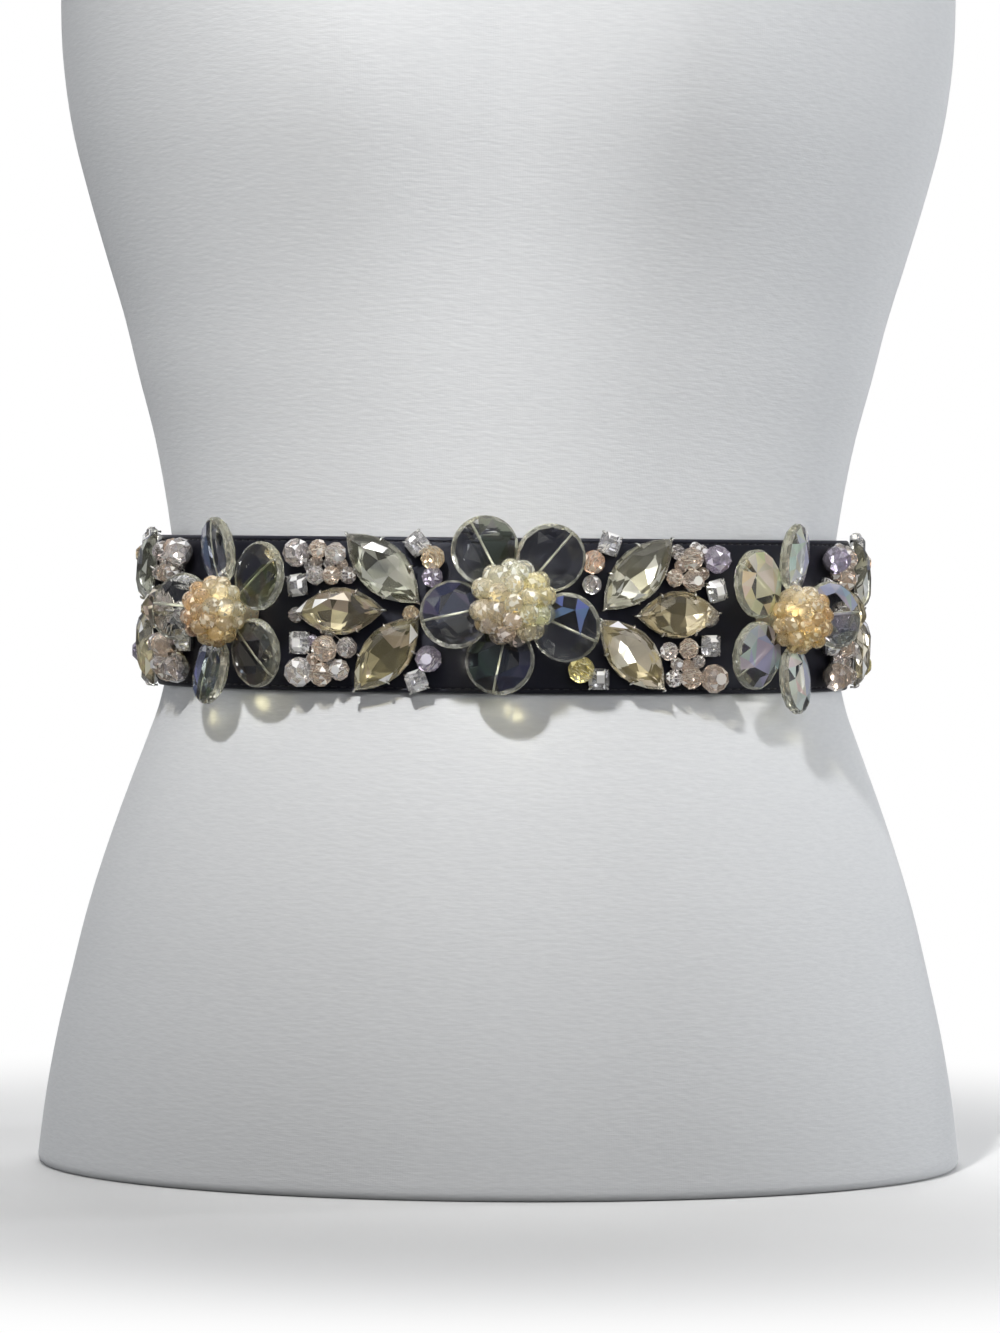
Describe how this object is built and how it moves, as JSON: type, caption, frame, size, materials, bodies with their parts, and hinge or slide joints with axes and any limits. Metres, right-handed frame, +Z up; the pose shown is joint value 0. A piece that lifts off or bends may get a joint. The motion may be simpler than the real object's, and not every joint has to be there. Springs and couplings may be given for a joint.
{
  "type": "bridal sash on dress form",
  "caption": "Stiff black satin bridal sash with glass bead flowers and pointed oval stones, worn round the waist of a limbless dress form.",
  "frame": {"origin": "middle of the dress form's flat base, where the form rests", "axes": "+Z up along the form, -Y the front of the form and of the sash"},
  "size_m": [0.315, 0.2376, 0.64],
  "materials": {
    "jersey": "matt fine jersey",
    "satin": "black satin over a stiff backing",
    "petal_glass": "clear champagne glass, faceted",
    "dome_glass": "champagne and peach faceted glass",
    "leaf_glass": "foiled smoky champagne glass, faceted",
    "bead_glass": "clear and pale lilac faceted glass",
    "silver": "bright plated metal"
  },
  "bodies": {
    "root": {"dress_form": "jersey", "band": "satin", "snap_upper": "silver", "snap_lower": "silver", "core_centre": "dome_glass", "petal_centre_1": "petal_glass", "petal_centre_2": "petal_glass", "petal_centre_3": "petal_glass", "petal_centre_4": "petal_glass", "petal_centre_5": "petal_glass", "core_left": "dome_glass", "petal_left_1": "petal_glass", "petal_left_2": "petal_glass", "petal_left_3": "petal_glass", "petal_left_4": "petal_glass", "petal_left_5": "petal_glass", "core_right": "dome_glass", "petal_right_1": "petal_glass", "petal_right_2": "petal_glass", "petal_right_3": "petal_glass", "petal_right_4": "petal_glass", "petal_right_5": "petal_glass", "leaf_left_inner_upper": "leaf_glass", "leaf_left_inner_lower": "leaf_glass", "leaf_left_inner_middle": "leaf_glass", "beads_left_inner_top": "bead_glass", "beads_left_inner_high": "bead_glass", "beads_left_inner_low": "bead_glass", "beads_left_inner_bottom": "bead_glass", "beads_left_inner_crest": "bead_glass", "beads_left_inner_foot": "bead_glass", "leaf_left_outer_upper": "leaf_glass", "leaf_left_outer_lower": "leaf_glass", "leaf_left_outer_middle": "leaf_glass", "beads_left_outer_top": "bead_glass", "beads_left_outer_high": "bead_glass", "beads_left_outer_low": "bead_glass", "beads_left_outer_bottom": "bead_glass", "beads_left_outer_crest": "bead_glass", "beads_left_outer_foot": "bead_glass", "leaf_right_inner_upper": "leaf_glass", "leaf_right_inner_lower": "leaf_glass", "leaf_right_inner_middle": "leaf_glass", "beads_right_inner_top": "bead_glass", "beads_right_inner_high": "bead_glass", "beads_right_inner_low": "bead_glass", "beads_right_inner_bottom": "bead_glass", "beads_right_inner_crest": "bead_glass", "beads_right_inner_foot": "bead_glass", "leaf_right_outer_upper": "leaf_glass", "leaf_right_outer_lower": "leaf_glass", "leaf_right_outer_middle": "leaf_glass", "beads_right_outer_top": "bead_glass", "beads_right_outer_high": "bead_glass", "beads_right_outer_low": "bead_glass", "beads_right_outer_bottom": "bead_glass", "beads_right_outer_crest": "bead_glass", "beads_right_outer_foot": "bead_glass"}
  },
  "joints": []
}
